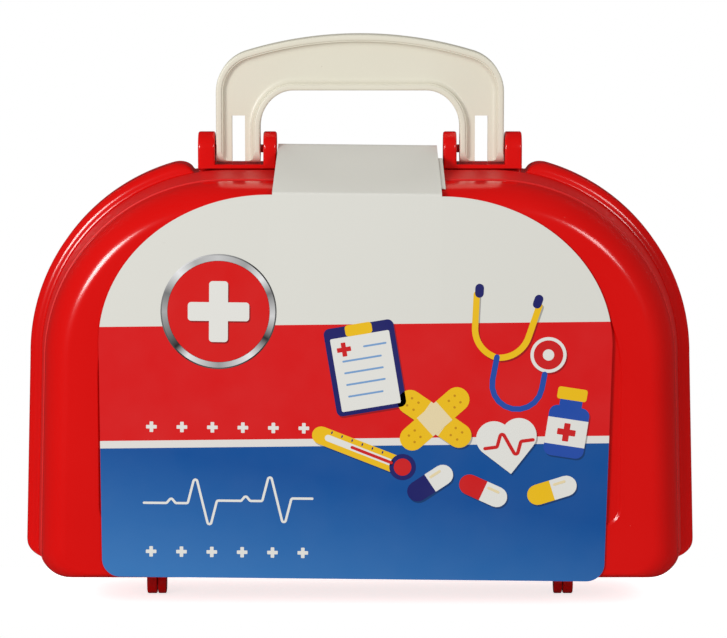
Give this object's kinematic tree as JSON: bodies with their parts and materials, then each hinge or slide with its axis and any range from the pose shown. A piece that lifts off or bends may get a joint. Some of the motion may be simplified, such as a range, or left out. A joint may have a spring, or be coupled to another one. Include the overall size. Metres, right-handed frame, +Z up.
{
  "type": "toy doctor case",
  "caption": "Hinged plastic play case with round shoulders, a bumper bead, a swing handle and a printed card sleeve with a first-aid cross.",
  "frame": {"origin": "under the middle of the closed case, level with the underside of the hinge knuckles", "axes": "+X to the right and +Y to the back as seen from the printed front, +Z up towards the handle"},
  "size_m": [0.2838, 0.0886, 0.2394],
  "materials": {
    "red_shell": "high gloss moulded, fine specks and scratches",
    "cream_handle": "smooth semi-matt moulded",
    "printed_card": "coated printed card, satin"
  },
  "bodies": {
    "back_half": {"back_shell": "red_shell", "back_card": "printed_card"},
    "front_half": {"front_shell": "red_shell", "front_card": "printed_card"},
    "swing_handle": {"handle": "cream_handle"}
  },
  "joints": [
    {"name": "front_hinge", "type": "hinge", "parent": "back_half", "child": "front_half", "pos_m": [0, 0, 0.0056], "axis": [1, 0, 0], "range_deg": [0, 180]},
    {"name": "handle_swing", "type": "hinge", "parent": "back_half", "child": "swing_handle", "pos_m": [0, 0, 0.1912], "axis": [-1, 0, 0], "range_deg": [-90, 90]}
  ]
}
